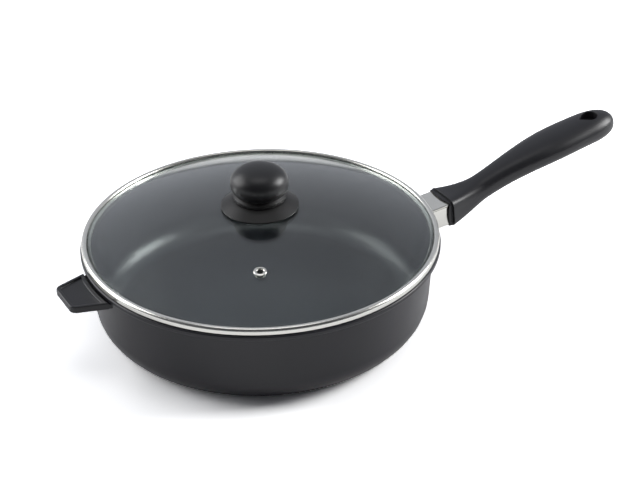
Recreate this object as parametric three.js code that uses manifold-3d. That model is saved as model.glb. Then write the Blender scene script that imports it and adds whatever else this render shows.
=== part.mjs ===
// Sauté pan with a glass lid: a drawn aluminium pan, a moulded long handle on a steel tang behind a flame
// guard, a moulded side grip, and a domed glass lid in a rolled steel band with a vent and a screwed knob.
// Millimetres, +Z up. The origin is the centre of the base and +X runs along the long handle.
import * as THREE from "three";
import { mergeVertices } from "three/addons/utils/BufferGeometryUtils.js";
import Module from "manifold-3d";

const wasm = await Module();
wasm.setup();

const degrees = Math.PI / 180;
const quarterTurn = Math.PI / 2;

// Clearances
const seatGap = 0.3; // between faces that rest on each other
const boreGap = 0.3; // round a screw or an insert
const slotGap = 0.3; // round a tang in its slot
const lidGap = 1; // round the lid's flange in the mouth of the pan
const overrun = 30; // how far a cutting shape runs past what it cuts

// Screws, as shares of the head and the shank
const screwCrown = 0.6;
const screwHeadSide = 0.3;
const screwTip = 0.3;

// Facets
const rimFacets = 48;
const knobFacets = 40;
const screwFacets = 16;
const profileSteps = 3; // chords of a curve in a profile; an arc has twice as many
const sheetSteps = 2; // the same for the rolled sheet
const cornerFacets = 6; // chords of a rounded corner
const holeFacets = 14; // of half the hanging hole
const knobRings = 11; // from the knob's neck to its top

// Pan
const panHeight = 70.5;
const wallRadius = 138.7; // outside, level with the underside of the lip
const lipOverhang = 5.3;
const lipThickness = 4;
const lipRounding = 1.2;
const mouthRounding = 5;
const flareRadius = 5;
const wallTaper = 3.75 * degrees;
const wallThickness = 3;
const baseThickness = 4;
const cornerRadius = 24.2;
const innerCornerRadius = 20;
const baseRingRadii = [50, 90];
const baseRingWidth = 4;
const baseRingDepth = 0.6;

// Lid band
const bandInset = 1; // of the band behind the edge of the lip
const bandHeight = 5.5;
const bandWidth = 4.7;
const bandSheet = 0.5;
const beadRadius = 2;
const flangeDepth = 3.5;

// Lid glass
const glassThickness = 3.5;
const glassEdge = 1.6; // what the ground seat leaves at the rim
const glassEdgeGap = 2.4; // sealing gap inside the band
const domeRise = 26;

// Steam vent
const ventDistance = 86;
const ventAzimuth = -118 * degrees;
const ventBore = 4.5;
const ventTube = 6.9;
const ventFlange = 11;
const ventFlangeThickness = 0.8;

// Knob and what screws it to the glass
const knobRadius = 23.2;
const knobHeight = 27.6;
const knobWaist = 13.1; // height of its widest circle
const knobRoundness = 2.2; // 2 is an ellipse, more is boxier
const collarRadius = 21;
const collarHeight = 2.8;
const collarEdge = 0.6;
const neckRadius = 18.9;
const neckHeight = 4.4;
const skirtRadius = 31;
const skirtHeight = 4.7;
const skirtShell = 1.8;
const skirtRim = 1.2;
const skirtEdge = 0.4;
const skirtSweep = 2; // how far its crown curves out before it falls
const skirtLift = 0.8; // of the skirt's rim above the glass
const skirtTopRadius = 20.6;
const gasketRadius = 9.5;
const gasketThickness = 1.2;
const knobScrewRadius = 2.5;
const knobScrewReach = 10; // into the knob
const knobScrewHeadRadius = 4.8;
const knobScrewHeadHeight = 3;
const knobWasherRadius = 8;
const knobWasherThickness = 1;
const insertRadius = 4.5;
const insertLength = 12;

// Flame guard: a folded sleeve between the wall and the long handle
const handleHeight = 42.7; // of the guard's centre at the wall
const guardTilt = 5.3 * degrees;
const guardWidth = 28.1;
const guardDepth = 20.9;
const guardSheet = 0.8;
const guardCorner = 1.3;
const guardShown = 37;
const guardHidden = 5;

// Tang of the long handle
const tangTilt = 9 * degrees;
const tangWidth = 14;
const tangThickness = 4;
const tangLength = 82;
const tangFootWidth = 22;
const tangFootHeight = 15;
const tangFootThickness = 2.5;

// Long handle
const gripLength = 181;
const gripRise = 40.2;
const gripStartRun = 50;
const gripEndRun = 124;
const gripEndTilt = 6 * degrees;
const mouthSquareness = 4.5; // of its section: 2 is an ellipse
const palmSquareness = 2.65;
const mouthSideWall = 4.2; // beside the guard
const mouthTopWall = 3.4; // above and below the guard
const mouthEdge = 0.5;
const mouthStepLength = 2.5; // of the step round the guard, in front of the mouth
const mouthStepWall = 1.4;
const mouthStepCorner = 3;
const neckWidth = 22.6;
const neckDepth = 19.6;
const palmWidth = 37.2;
const palmDepth = 21.8;
const endWidth = 32.2;
const endDepth = 24;
const neckDistance = 41;
const palmDistance = 122;
const flareSharpness = 1.7;
const endRounding = 30;
const endSquareness = 2.4;
const endFullness = 0.8; // below 1 its depth closes later than its width
const gripRings = 24;
const ringCrowding = 1.6; // draws the sections together towards the tip
const gripSides = 24;
const hangHoleRadius = 7.2;
const hangHolePoint = 12.4; // from the round centre to the point
const hangHoleFromEnd = 24.5;

// Screw of the long handle
const handleScrewAlong = 66; // along the tang
const handleScrewRadius = 2.2;
const handleScrewHeadRadius = 4.2;
const handleScrewHeadHeight = 2.6;
const handleScrewWall = 4.5; // plastic between the head's seat and the slot
const handleWasherRadius = 4.2;
const handleWasherThickness = 0.9;

// Side grip
const sideLength = 30.9; // out from the wall
const sideWidth = 33.4; // across its outer corners
const sideFlare = 17.2 * degrees;
const sideCorner = 6;
const sideThickness = 5.7;
const sideRise = 0.8; // of its border above the underside of the lip
const sideEdge = 0.9;
const sideBorder = 2.8;
const sidePanelDepth = 1.3;
const sideStepGap = 0.9; // between the lip and the step
const sideStepDrop = 1.2; // of its inner step below the lip
const sideBossWidth = 20;
const sideBossLength = 20;
const sideBossDepth = 5.6;

// Tang and screw of the side grip
const sideTangWidth = 13;
const sideTangThickness = 2;
const sideTangLength = 19.3;
const sideTangDrop = 7.3; // of its middle below the lip
const sideFootWidth = 20;
const sideFootHeight = 6.4;
const sideFootThickness = 2;
const sideScrewOut = 12.3; // from the wall
const sideScrewRadius = 1.9;
const sideScrewHeadRadius = 3.6;
const sideScrewHeadHeight = 2.3;
const sideWasherRadius = 3.6;
const sideWasherThickness = 0.8;

// Levels that follow from the sizes
const lipUnderside = panHeight - lipThickness;
const lipRadius = wallRadius + lipOverhang;
const bandRadius = lipRadius - bandInset;
const bandBase = panHeight + seatGap;
const bandCrest = bandBase + bandHeight;
const glassSeat = bandBase + bandSheet + seatGap;
const glassRadius = bandRadius - bandSheet - glassEdgeGap;
const domeRadius = (glassRadius ** 2 + domeRise ** 2) / (2 * domeRise);
const domeTop = glassSeat + glassEdge + domeRise;
const domeCentre = domeTop - domeRadius;
const domeInside = domeRadius - glassThickness;
const skirtBase = domeTop + gasketThickness + 2 * seatGap;
const knobBase = skirtBase + skirtHeight + seatGap;
const glassBore = knobScrewRadius + 2 * boreGap;
const mouthWidth = guardWidth + 2 * mouthSideWall;
const mouthDepth = guardDepth + 2 * mouthTopWall;

const wallOutside = (z) => wallRadius - (lipUnderside - z) * Math.tan(wallTaper);
const wallInside = (z) => wallOutside(z) - wallThickness / Math.cos(wallTaper);
const glassTop = (r) => domeCentre + Math.sqrt(domeRadius ** 2 - r ** 2);
const glassUnder = (r) => domeCentre + Math.sqrt(domeInside ** 2 - r ** 2);

// Finishes
const standard = (settings) => new THREE.MeshStandardMaterial(settings);
const finish = (color, roughness, metalness) => standard({ color, roughness, metalness });
const coatedAluminium = () => finish(0x343336, 0.5, 0.4);
const brightSteel = () => finish(0xc9c9c4, 0.2, 1);
const plainSteel = () => finish(0xa7a9aa, 0.35, 1);
const phenolic = () => finish(0x35353a, 0.45, 0);
const brassFinish = () => finish(0xb08d4a, 0.35, 1);
const silicone = () => finish(0x2a2a2a, 0.8, 0);
const clearGlass = () => standard({ color: 0xdfe6e6, roughness: 0.05, transparent: true, opacity: 0.35 });

// A closed three.js geometry as a solid.
function toSolid(geometry) {
  const plain = new THREE.BufferGeometry();
  plain.setAttribute("position", geometry.getAttribute("position"));
  plain.setIndex(geometry.index);
  const merged = mergeVertices(plain, 1e-4);
  const corners = merged.index.array;
  const kept = [];
  for (let i = 0; i < corners.length; i += 3) {
    const [a, b, c] = corners.slice(i, i + 3);
    if (a !== b && b !== c && c !== a) kept.push(a, b, c);
  }
  const triVerts = new Uint32Array(kept);
  const vertProperties = merged.getAttribute("position").array;
  return new wasm.Manifold(new wasm.Mesh({ numProp: 3, vertProperties, triVerts }));
}

// A solid as a named mesh.
function piece(name, solid, material) {
  const { vertProperties, triVerts } = solid.getMesh();
  const geometry = new THREE.BufferGeometry();
  geometry.setAttribute("position", new THREE.BufferAttribute(vertProperties, 3));
  geometry.setIndex(new THREE.BufferAttribute(triVerts, 1));
  geometry.computeVertexNormals();
  const mesh = new THREE.Mesh(geometry, material);
  mesh.name = name;
  return mesh;
}

// A profile of radius and height, turned about Z. It runs outwards below and inwards above.
function turned(profile, facets, steps = profileSteps) {
  const points = profile instanceof THREE.Path ? profile.getPoints(steps) : profile;
  return toSolid(new THREE.LatheGeometry(points, facets).rotateX(quarterTurn));
}

// A ring or, with no bore, a disc of rectangular section.
function ring(bore, radius, low, high, facets) {
  const corners = [[bore, low], [radius, low], [radius, high], [bore, high]];
  if (bore > 0) corners.push([bore, low]);
  return turned(corners.map(([r, z]) => new THREE.Vector2(r, z)), facets);
}

function block(length, width, height, x, y, z) {
  return toSolid(new THREE.BoxGeometry(length, width, height).translate(x, y, z));
}

// A section drawn across Y and Z, run along X.
function barAlongX(shape, start, length) {
  const options = { depth: length, bevelEnabled: false, curveSegments: cornerFacets };
  const geometry = new THREE.ExtrudeGeometry(shape, options);
  const acrossX = new THREE.Matrix4().makeBasis(
    new THREE.Vector3(0, 1, 0),
    new THREE.Vector3(0, 0, 1),
    new THREE.Vector3(1, 0, 0),
  );
  return toSolid(geometry.applyMatrix4(acrossX).translate(start, 0, 0));
}

function roundedRectangle(width, height, corner, outline = new THREE.Shape()) {
  const x = width / 2 - corner;
  const y = height / 2 - corner;
  outline.absarc(x, y, corner, 0, quarterTurn);
  outline.absarc(-x, y, corner, quarterTurn, 2 * quarterTurn);
  outline.absarc(-x, -y, corner, 2 * quarterTurn, 3 * quarterTurn);
  outline.absarc(x, -y, corner, 3 * quarterTurn, 4 * quarterTurn);
  outline.closePath();
  return outline;
}

// A pan head screw standing on its head along Z, with the shoulder under its head at zero.
function screw(radius, reach, headRadius, headHeight) {
  const profile = new THREE.Path();
  profile.moveTo(0, -headHeight);
  profile.lineTo(screwCrown * headRadius, -headHeight);
  profile.quadraticCurveTo(headRadius, -headHeight, headRadius, -screwHeadSide * headHeight);
  profile.lineTo(headRadius, 0);
  profile.lineTo(radius, 0);
  profile.lineTo(radius, reach - screwTip * radius);
  profile.lineTo(radius - screwTip * radius, reach);
  profile.lineTo(0, reach);
  return turned(profile, screwFacets);
}

const placed = (solid, frame) => solid.transform(frame.elements);

// The part of the wall that brackets meet, grown outwards: a plain cone to cut or shape them with.
function grownWall(growth) {
  const low = handleHeight - overrun;
  const corners = [
    [0, low],
    [wallOutside(low) + growth, low],
    [wallOutside(panHeight) + growth, panHeight],
    [0, panHeight],
  ];
  return turned(corners.map(([r, z]) => new THREE.Vector2(r, z)), rimFacets);
}

// Pan body: base with turned rings, round corner, tapered wall and flared lip, drawn from one sheet.
function panBody() {
  const outerCornerAt = wallOutside(cornerRadius) - cornerRadius / Math.cos(wallTaper);
  const flareHeight = lipUnderside - flareRadius;
  const flareAt = wallOutside(flareHeight) + flareRadius / Math.cos(wallTaper);
  const mouthHeight = panHeight - mouthRounding;
  const mouthAt = wallInside(mouthHeight) + mouthRounding / Math.cos(wallTaper);
  const innerCornerHeight = baseThickness + innerCornerRadius;
  const innerCornerAt = wallInside(innerCornerHeight) - innerCornerRadius / Math.cos(wallTaper);
  const profile = new THREE.Path();
  profile.moveTo(0, 0);
  for (const radius of baseRingRadii) {
    profile.lineTo(radius - baseRingWidth / 2, 0);
    profile.lineTo(radius - baseRingWidth / 2 + baseRingDepth, baseRingDepth);
    profile.lineTo(radius + baseRingWidth / 2 - baseRingDepth, baseRingDepth);
    profile.lineTo(radius + baseRingWidth / 2, 0);
  }
  profile.absarc(outerCornerAt, cornerRadius, cornerRadius, -quarterTurn, -wallTaper, false);
  profile.absarc(flareAt, flareHeight, flareRadius, Math.PI - wallTaper, quarterTurn, true);
  profile.lineTo(lipRadius - lipRounding, lipUnderside);
  profile.quadraticCurveTo(lipRadius, lipUnderside, lipRadius, lipUnderside + lipRounding);
  profile.lineTo(lipRadius, panHeight - lipRounding);
  profile.quadraticCurveTo(lipRadius, panHeight, lipRadius - lipRounding, panHeight);
  profile.absarc(mouthAt, mouthHeight, mouthRounding, quarterTurn, Math.PI - wallTaper, false);
  profile.absarc(innerCornerAt, innerCornerHeight, innerCornerRadius, -wallTaper, -quarterTurn, true);
  profile.lineTo(0, baseThickness);
  return turned(profile, rimFacets);
}

// Lid band: one strip rolled over the glass, under it and down into the mouth of the pan.
function lidBand() {
  const flangeRadius = wallInside(bandBase - flangeDepth) - lidGap;
  const hemRadius = bandRadius - bandWidth;
  const hemHeight = glassTop(hemRadius) + seatGap;
  const beadAt = bandRadius - beadRadius;
  const beadHeight = bandCrest - beadRadius;
  const profile = new THREE.Path();
  profile.moveTo(flangeRadius - bandSheet, bandBase - flangeDepth);
  profile.lineTo(flangeRadius, bandBase - flangeDepth);
  profile.lineTo(flangeRadius, bandBase - bandSheet);
  profile.lineTo(flangeRadius + bandSheet, bandBase);
  profile.lineTo(bandRadius - bandSheet, bandBase);
  profile.quadraticCurveTo(bandRadius, bandBase, bandRadius, bandBase + beadRadius);
  profile.absarc(beadAt, beadHeight, beadRadius, 0, quarterTurn, false);
  profile.quadraticCurveTo(hemRadius, bandCrest, hemRadius, hemHeight + bandSheet);
  profile.lineTo(hemRadius, hemHeight);
  profile.lineTo(hemRadius + bandSheet, hemHeight);
  profile.quadraticCurveTo(hemRadius + bandSheet, bandCrest - bandSheet, beadAt, bandCrest - bandSheet);
  profile.absarc(beadAt, beadHeight, beadRadius - bandSheet, quarterTurn, 0, true);
  profile.lineTo(bandRadius - bandSheet, bandBase + bandSheet);
  profile.lineTo(flangeRadius - bandSheet, bandBase + bandSheet);
  profile.closePath();
  return turned(profile, rimFacets, sheetSteps);
}

// Frame on the glass at the vent, with Z square to the dome and zero on its upper face.
function ventFrame() {
  const lean = Math.asin(ventDistance / domeRadius);
  const turn = new THREE.Matrix4().makeRotationZ(ventAzimuth);
  const shift = new THREE.Matrix4().makeTranslation(ventDistance, 0, glassTop(ventDistance));
  const tip = new THREE.Matrix4().makeRotationY(lean);
  return turn.multiply(shift).multiply(tip);
}

// Lid glass: a dome of even thickness with a flat seat ground under its rim, a knob bore and a vent hole.
function lidGlass() {
  const seatStart = Math.sqrt(domeInside ** 2 - (glassSeat - domeCentre) ** 2);
  const underBore = Math.acos(glassBore / domeInside);
  const underSeat = Math.acos(seatStart / domeInside);
  const topRim = Math.acos(glassRadius / domeRadius);
  const topBore = Math.acos(glassBore / domeRadius);
  const profile = new THREE.Path();
  profile.absarc(0, domeCentre, domeInside, underBore, underSeat, true);
  profile.lineTo(glassRadius, glassSeat);
  profile.absarc(0, domeCentre, domeRadius, topRim, topBore, false);
  profile.closePath();
  const hole = ring(0, ventTube / 2 + boreGap, -overrun, overrun, screwFacets);
  return turned(profile, rimFacets).subtract(placed(hole, ventFrame()));
}

// Vent eyelet: a short tube spread to a flange on both faces of the glass.
function ventEyelet() {
  const bore = ventBore / 2;
  const tube = ventTube / 2;
  const flange = ventFlange / 2;
  const under = -glassThickness - seatGap;
  const profile = new THREE.Path();
  profile.moveTo(bore, under - ventFlangeThickness);
  profile.lineTo(flange - ventFlangeThickness, under - ventFlangeThickness);
  profile.lineTo(flange - ventFlangeThickness, under);
  profile.lineTo(tube, under);
  profile.lineTo(tube, seatGap);
  profile.lineTo(flange, seatGap);
  profile.quadraticCurveTo(flange, seatGap + ventFlangeThickness, tube, seatGap + ventFlangeThickness);
  profile.lineTo(bore, seatGap);
  profile.closePath();
  return turned(profile, screwFacets);
}

// Knob: a flattened ball on a narrow neck and collar, with a blind bore for the threaded insert.
function knobBall() {
  const bore = insertRadius + boreGap;
  const boreTop = knobBase + insertLength + 2 * seatGap;
  const waist = knobBase + knobWaist;
  const points = [[0, boreTop], [bore, boreTop], [bore, knobBase], [collarRadius - collarEdge, knobBase]];
  points.push([collarRadius, knobBase + collarEdge], [collarRadius, knobBase + collarHeight]);
  points.push([neckRadius, knobBase + neckHeight]);
  const upper = knobHeight - knobWaist;
  const neckShare = 1 - (neckRadius / knobRadius) ** knobRoundness;
  const lower = (knobWaist - neckHeight) / neckShare ** (1 / knobRoundness);
  const neckAngle = -Math.asin(Math.sqrt(neckShare));
  for (let i = 1; i <= knobRings; i++) {
    const angle = THREE.MathUtils.lerp(neckAngle, quarterTurn, i / knobRings);
    const across = Math.abs(Math.cos(angle)) ** (2 / knobRoundness);
    const up = Math.sign(angle) * Math.abs(Math.sin(angle)) ** (2 / knobRoundness);
    const half = angle < 0 ? lower : upper;
    points.push([i < knobRings ? knobRadius * across : 0, waist + half * up]);
  }
  return turned(points.map(([r, z]) => new THREE.Vector2(r, z)), knobFacets);
}

// Knob skirt: a shallow cone over a central boss, its rim just clear of the glass.
function knobSkirt() {
  const bore = knobScrewRadius + boreGap;
  const top = skirtBase + skirtHeight;
  const rimLow = glassTop(skirtRadius) + skirtLift;
  const rimTop = rimLow + skirtRim;
  const profile = new THREE.Path();
  profile.moveTo(bore, skirtBase);
  profile.lineTo(gasketRadius, skirtBase);
  profile.lineTo(gasketRadius + skirtShell, top - skirtShell);
  profile.lineTo(skirtTopRadius - skirtShell, top - skirtShell);
  profile.lineTo(skirtRadius - skirtShell, rimLow);
  profile.lineTo(skirtRadius - skirtEdge, rimLow);
  profile.lineTo(skirtRadius, rimLow + skirtEdge);
  profile.lineTo(skirtRadius, rimTop);
  profile.quadraticCurveTo(skirtTopRadius + skirtSweep, top - skirtEdge, skirtTopRadius, top);
  profile.lineTo(bore, top);
  profile.closePath();
  return turned(profile, knobFacets);
}

// Frame at the wall with X out along a bracket that rises by a tilt.
function wallFrame(tilt) {
  const shift = new THREE.Matrix4().makeTranslation(wallOutside(handleHeight), 0, handleHeight);
  return shift.multiply(new THREE.Matrix4().makeRotationY(-tilt));
}

// Flame guard: an open sleeve of folded sheet, cut to the wall at one end and let into the handle.
function flameGuard() {
  const section = roundedRectangle(guardWidth, guardDepth, guardCorner);
  const inside = [guardWidth - 2 * guardSheet, guardDepth - 2 * guardSheet, guardCorner - guardSheet];
  section.holes.push(roundedRectangle(...inside, new THREE.Path()));
  const sleeve = barAlongX(section, -overrun / 2, guardShown + guardHidden + overrun / 2);
  return placed(sleeve, wallFrame(guardTilt)).subtract(grownWall(seatGap));
}

// A curved foot that lies on the wall, to be welded there.
function weldedFoot(width, height, thickness, middle) {
  const plate = block(overrun, width, height, wallOutside(middle), 0, middle);
  return plate.intersect(grownWall(seatGap + thickness)).subtract(grownWall(seatGap));
}

// Tang of the long handle: a flat tongue on a welded foot, with a hole for the handle's screw.
function handleTang() {
  const tongue = block(tangLength, tangWidth, tangThickness, tangLength / 2, 0, 0);
  const hole = ring(0, handleScrewRadius + boreGap, -overrun, overrun, screwFacets);
  const drilled = tongue.subtract(hole.translate(handleScrewAlong, 0, 0));
  const foot = weldedFoot(tangFootWidth, tangFootHeight, tangFootThickness, handleHeight);
  return placed(drilled, wallFrame(tangTilt)).add(foot).subtract(grownWall(seatGap));
}

// The long handle's centre line, from its mouth to its tip.
function gripCurve() {
  const start = new THREE.Vector3(guardShown, 0, 0).applyMatrix4(wallFrame(guardTilt));
  const end = new THREE.Vector3(start.x + gripLength, 0, start.z + gripRise);
  const startPull = new THREE.Vector3(1, 0, Math.tan(guardTilt)).multiplyScalar(gripStartRun).add(start);
  const endPull = new THREE.Vector3(1, 0, Math.tan(gripEndTilt)).multiplyScalar(-gripEndRun).add(end);
  return new THREE.CubicBezierCurve3(start, startPull, endPull, end);
}

// A size along the handle: flared mouth, slim neck, full palm and a slightly slimmer end.
function gripSize(distance, mouth, neck, palm, end) {
  const { smoothstep } = THREE.MathUtils;
  if (distance < neckDistance) return neck + (mouth - neck) * (1 - distance / neckDistance) ** flareSharpness;
  const swell = (palm - neck) * smoothstep(distance, neckDistance, palmDistance);
  return neck + swell + (end - palm) * smoothstep(distance, palmDistance, gripLength);
}

// Where the handle's sections lie on its centre line, and how far the mouth's eased edge sets each one in.
function gripStations() {
  const stations = [];
  const startSpeed = 3 * gripStartRun; // length per share at the start of a cubic curve
  stations.push({ share: mouthStepLength / startSpeed, inset: mouthEdge });
  stations.push({ share: (mouthStepLength + mouthEdge) / startSpeed, inset: 0 });
  for (let i = 1; i <= gripRings; i++) {
    stations.push({ share: 1 - (1 - i / gripRings) ** ringCrowding, inset: 0 });
  }
  return stations;
}

// The outer form of the long handle: rounded sections lofted square to the centre line.
function gripLoft() {
  const curve = gripCurve();
  const stations = gripStations();
  const positions = [];
  const corners = [];
  for (const { share, inset } of stations) {
    const centre = curve.getPoint(share);
    const ahead = curve.getTangent(share);
    const distance = centre.x - curve.v0.x;
    const intoEnd = Math.max(0, (distance - gripLength + endRounding) / endRounding);
    const closing = Math.max(0, 1 - intoEnd ** endSquareness) ** (1 / endSquareness);
    const width = gripSize(distance, mouthWidth, neckWidth, palmWidth, endWidth);
    const depth = gripSize(distance, mouthDepth, neckDepth, palmDepth, endDepth);
    const halfWidth = (closing * width) / 2 - inset;
    const halfDepth = (closing ** endFullness * depth) / 2 - inset;
    const rounded = THREE.MathUtils.smoothstep(distance, 0, neckDistance);
    const squareness = THREE.MathUtils.lerp(mouthSquareness, palmSquareness, rounded);
    for (let j = 0; j < gripSides; j++) {
      const angle = (2 * Math.PI * j) / gripSides;
      const across = Math.sign(Math.cos(angle)) * Math.abs(Math.cos(angle)) ** (2 / squareness);
      const up = Math.sign(Math.sin(angle)) * Math.abs(Math.sin(angle)) ** (2 / squareness);
      const rise = up * halfDepth;
      positions.push(centre.x - ahead.z * rise, across * halfWidth, centre.z + ahead.x * rise);
    }
  }
  const corner = (i, j) => i * gripSides + (j % gripSides);
  for (let j = 0; j < gripSides; j++) {
    for (let i = 0; i < stations.length - 1; i++) {
      corners.push(corner(i, j), corner(i, j + 1), corner(i + 1, j));
      corners.push(corner(i, j + 1), corner(i + 1, j + 1), corner(i + 1, j));
    }
    corners.push(positions.length / 3, corner(0, j + 1), corner(0, j));
  }
  positions.push(...curve.getPoint(stations[0].share).toArray());
  const geometry = new THREE.BufferGeometry();
  geometry.setAttribute("position", new THREE.Float32BufferAttribute(positions, 3));
  geometry.setIndex(corners);
  return toSolid(geometry);
}

// A drop-shaped hole through the handle's end, with its point towards the pan.
function hangHole() {
  const curve = gripCurve();
  const touch = Math.PI - Math.acos(hangHoleRadius / hangHolePoint);
  const drop = new THREE.Shape();
  drop.absarc(0, 0, hangHoleRadius, -touch, touch, false);
  drop.lineTo(-hangHolePoint, 0);
  drop.closePath();
  const depth = 2 * (endDepth + overrun);
  const cutter = new THREE.ExtrudeGeometry(drop, { depth, bevelEnabled: false, curveSegments: holeFacets });
  return toSolid(cutter.translate(curve.v3.x - hangHoleFromEnd, 0, curve.v3.z - depth / 2));
}

const handleScrewSeat = -tangThickness / 2 - slotGap - handleScrewWall;

// Long handle: the loft behind a step at its mouth, with a pocket for the guard, a slot for the tang,
// a counterbore and a hanging hole.
function longHandle() {
  const pocketSize = [guardWidth + 2 * slotGap, guardDepth + 2 * slotGap, guardCorner + slotGap];
  const pocket = barAlongX(
    roundedRectangle(...pocketSize),
    guardShown - overrun,
    overrun + guardHidden + seatGap,
  );
  const stepSize = [guardWidth + 2 * mouthStepWall, guardDepth + 2 * mouthStepWall, mouthStepCorner];
  const mouthStep = barAlongX(roundedRectangle(...stepSize), guardShown, mouthStepLength + mouthEdge);
  const slotLength = tangLength + 2 * slotGap - guardShown;
  const slotMiddle = guardShown + slotLength / 2;
  const slotSize = [slotLength, tangWidth + 2 * slotGap, tangThickness + 2 * slotGap];
  const slot = block(...slotSize, slotMiddle, 0, 0);
  const headBore = Math.max(handleScrewHeadRadius, handleWasherRadius) + boreGap;
  const counterbore = ring(0, headBore, handleScrewSeat - overrun, handleScrewSeat, screwFacets);
  const shankHole = ring(0, handleScrewRadius + boreGap, handleScrewSeat - seatGap, 0, screwFacets);
  const screwCut = counterbore.add(shankHole).translate(handleScrewAlong, 0, 0);
  return gripLoft()
    .add(placed(mouthStep, wallFrame(guardTilt)))
    .subtract(placed(pocket, wallFrame(guardTilt)))
    .subtract(placed(slot.add(screwCut), wallFrame(tangTilt)))
    .subtract(hangHole());
}

// Places on the side grip, which is drawn outwards along X and then turned to the far side.
const sideReach = wallRadius + sideLength;
const sideStepRadius = lipRadius + sideStepGap;
const sideTangReach = wallRadius + sideTangLength;
const sideScrewAt = wallRadius + sideScrewOut;
const sideTop = lipUnderside + sideRise;
const sideBottom = sideTop - sideThickness;
const sideBossBottom = sideBottom - sideBossDepth;
const sideTangMiddle = lipUnderside - sideTangDrop;
const sideFootMiddle = sideTangMiddle + sideTangThickness / 2 - sideFootHeight / 2;

// The side grip's outline, or the outline inset by a border.
function sideOutline(inset) {
  const reach = sideReach - inset;
  const start = wallRadius - overrun;
  const flare = Math.tan(sideFlare);
  const halfOuter = sideWidth / 2 - inset / Math.cos(sideFlare) + inset * flare;
  const halfInner = halfOuter + (reach - start) * flare;
  const corner = sideCorner - inset;
  const turn = quarterTurn - sideFlare;
  const cornerAt = reach - corner;
  const cornerSide = halfOuter + corner * flare - corner / Math.cos(sideFlare);
  const outline = new THREE.Shape();
  outline.absarc(cornerAt, -cornerSide, corner, -turn, 0, false);
  outline.absarc(cornerAt, cornerSide, corner, 0, turn, false);
  outline.lineTo(start, halfInner);
  outline.lineTo(start, -halfInner);
  outline.closePath();
  return outline;
}

// Side grip: a tab with a raised border round a sunk panel, stepped to pass under the lip, on a screw boss.
function sideGrip() {
  const tabOptions = {
    depth: sideThickness - 2 * sideEdge,
    bevelSize: sideEdge,
    bevelThickness: sideEdge,
    bevelOffset: -sideEdge,
    bevelSegments: sheetSteps,
    curveSegments: cornerFacets,
  };
  const tabForm = new THREE.ExtrudeGeometry(sideOutline(0), tabOptions);
  const tab = toSolid(tabForm.translate(0, 0, sideBottom + sideEdge));
  const panelOptions = { depth: overrun, bevelEnabled: false, curveSegments: cornerFacets };
  const panelCut = new THREE.ExtrudeGeometry(sideOutline(sideBorder), panelOptions);
  const innerBorder = sideStepRadius + sideBorder;
  const panel = toSolid(panelCut.translate(0, 0, sideTop - sidePanelDepth)).subtract(
    ring(0, innerBorder, sideBottom, sideTop + 2 * overrun, rimFacets),
  );
  const step = ring(0, sideStepRadius, lipUnderside - sideStepDrop, sideTop + overrun, rimFacets);
  const bossStart = wallRadius - overrun / 2;
  const bossEnd = wallOutside(sideTangMiddle) + sideBossLength;
  const bossSize = [bossEnd - bossStart, sideBossWidth, sideBottom + sideEdge - sideBossBottom];
  const bossPlace = [(bossStart + bossEnd) / 2, 0, (sideBottom + sideEdge + sideBossBottom) / 2];
  const boss = block(...bossSize, ...bossPlace);
  const slotLength = sideTangReach + slotGap - bossStart;
  const slotSize = [slotLength, sideTangWidth + 2 * slotGap, sideTangThickness + 2 * slotGap];
  const slot = block(...slotSize, bossStart + slotLength / 2, 0, sideTangMiddle);
  const screwHole = ring(0, sideScrewRadius + boreGap, sideBossBottom - overrun, sideTangMiddle, screwFacets);
  return tab
    .add(boss)
    .subtract(panel)
    .subtract(step)
    .subtract(slot)
    .subtract(screwHole.translate(sideScrewAt, 0, 0))
    .subtract(grownWall(sideFootThickness + 2 * seatGap));
}

// Tang of the side grip: a short tongue on a welded foot under the lip.
function sideTang() {
  const start = wallOutside(sideTangMiddle) - wallThickness;
  const length = sideTangReach - start;
  const tongue = block(length, sideTangWidth, sideTangThickness, start + length / 2, 0, sideTangMiddle);
  const hole = ring(0, sideScrewRadius + boreGap, 0, panHeight, screwFacets);
  const foot = weldedFoot(sideFootWidth, sideFootHeight, sideFootThickness, sideFootMiddle);
  return tongue.subtract(hole.translate(sideScrewAt, 0, 0)).add(foot).subtract(grownWall(seatGap));
}

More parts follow.
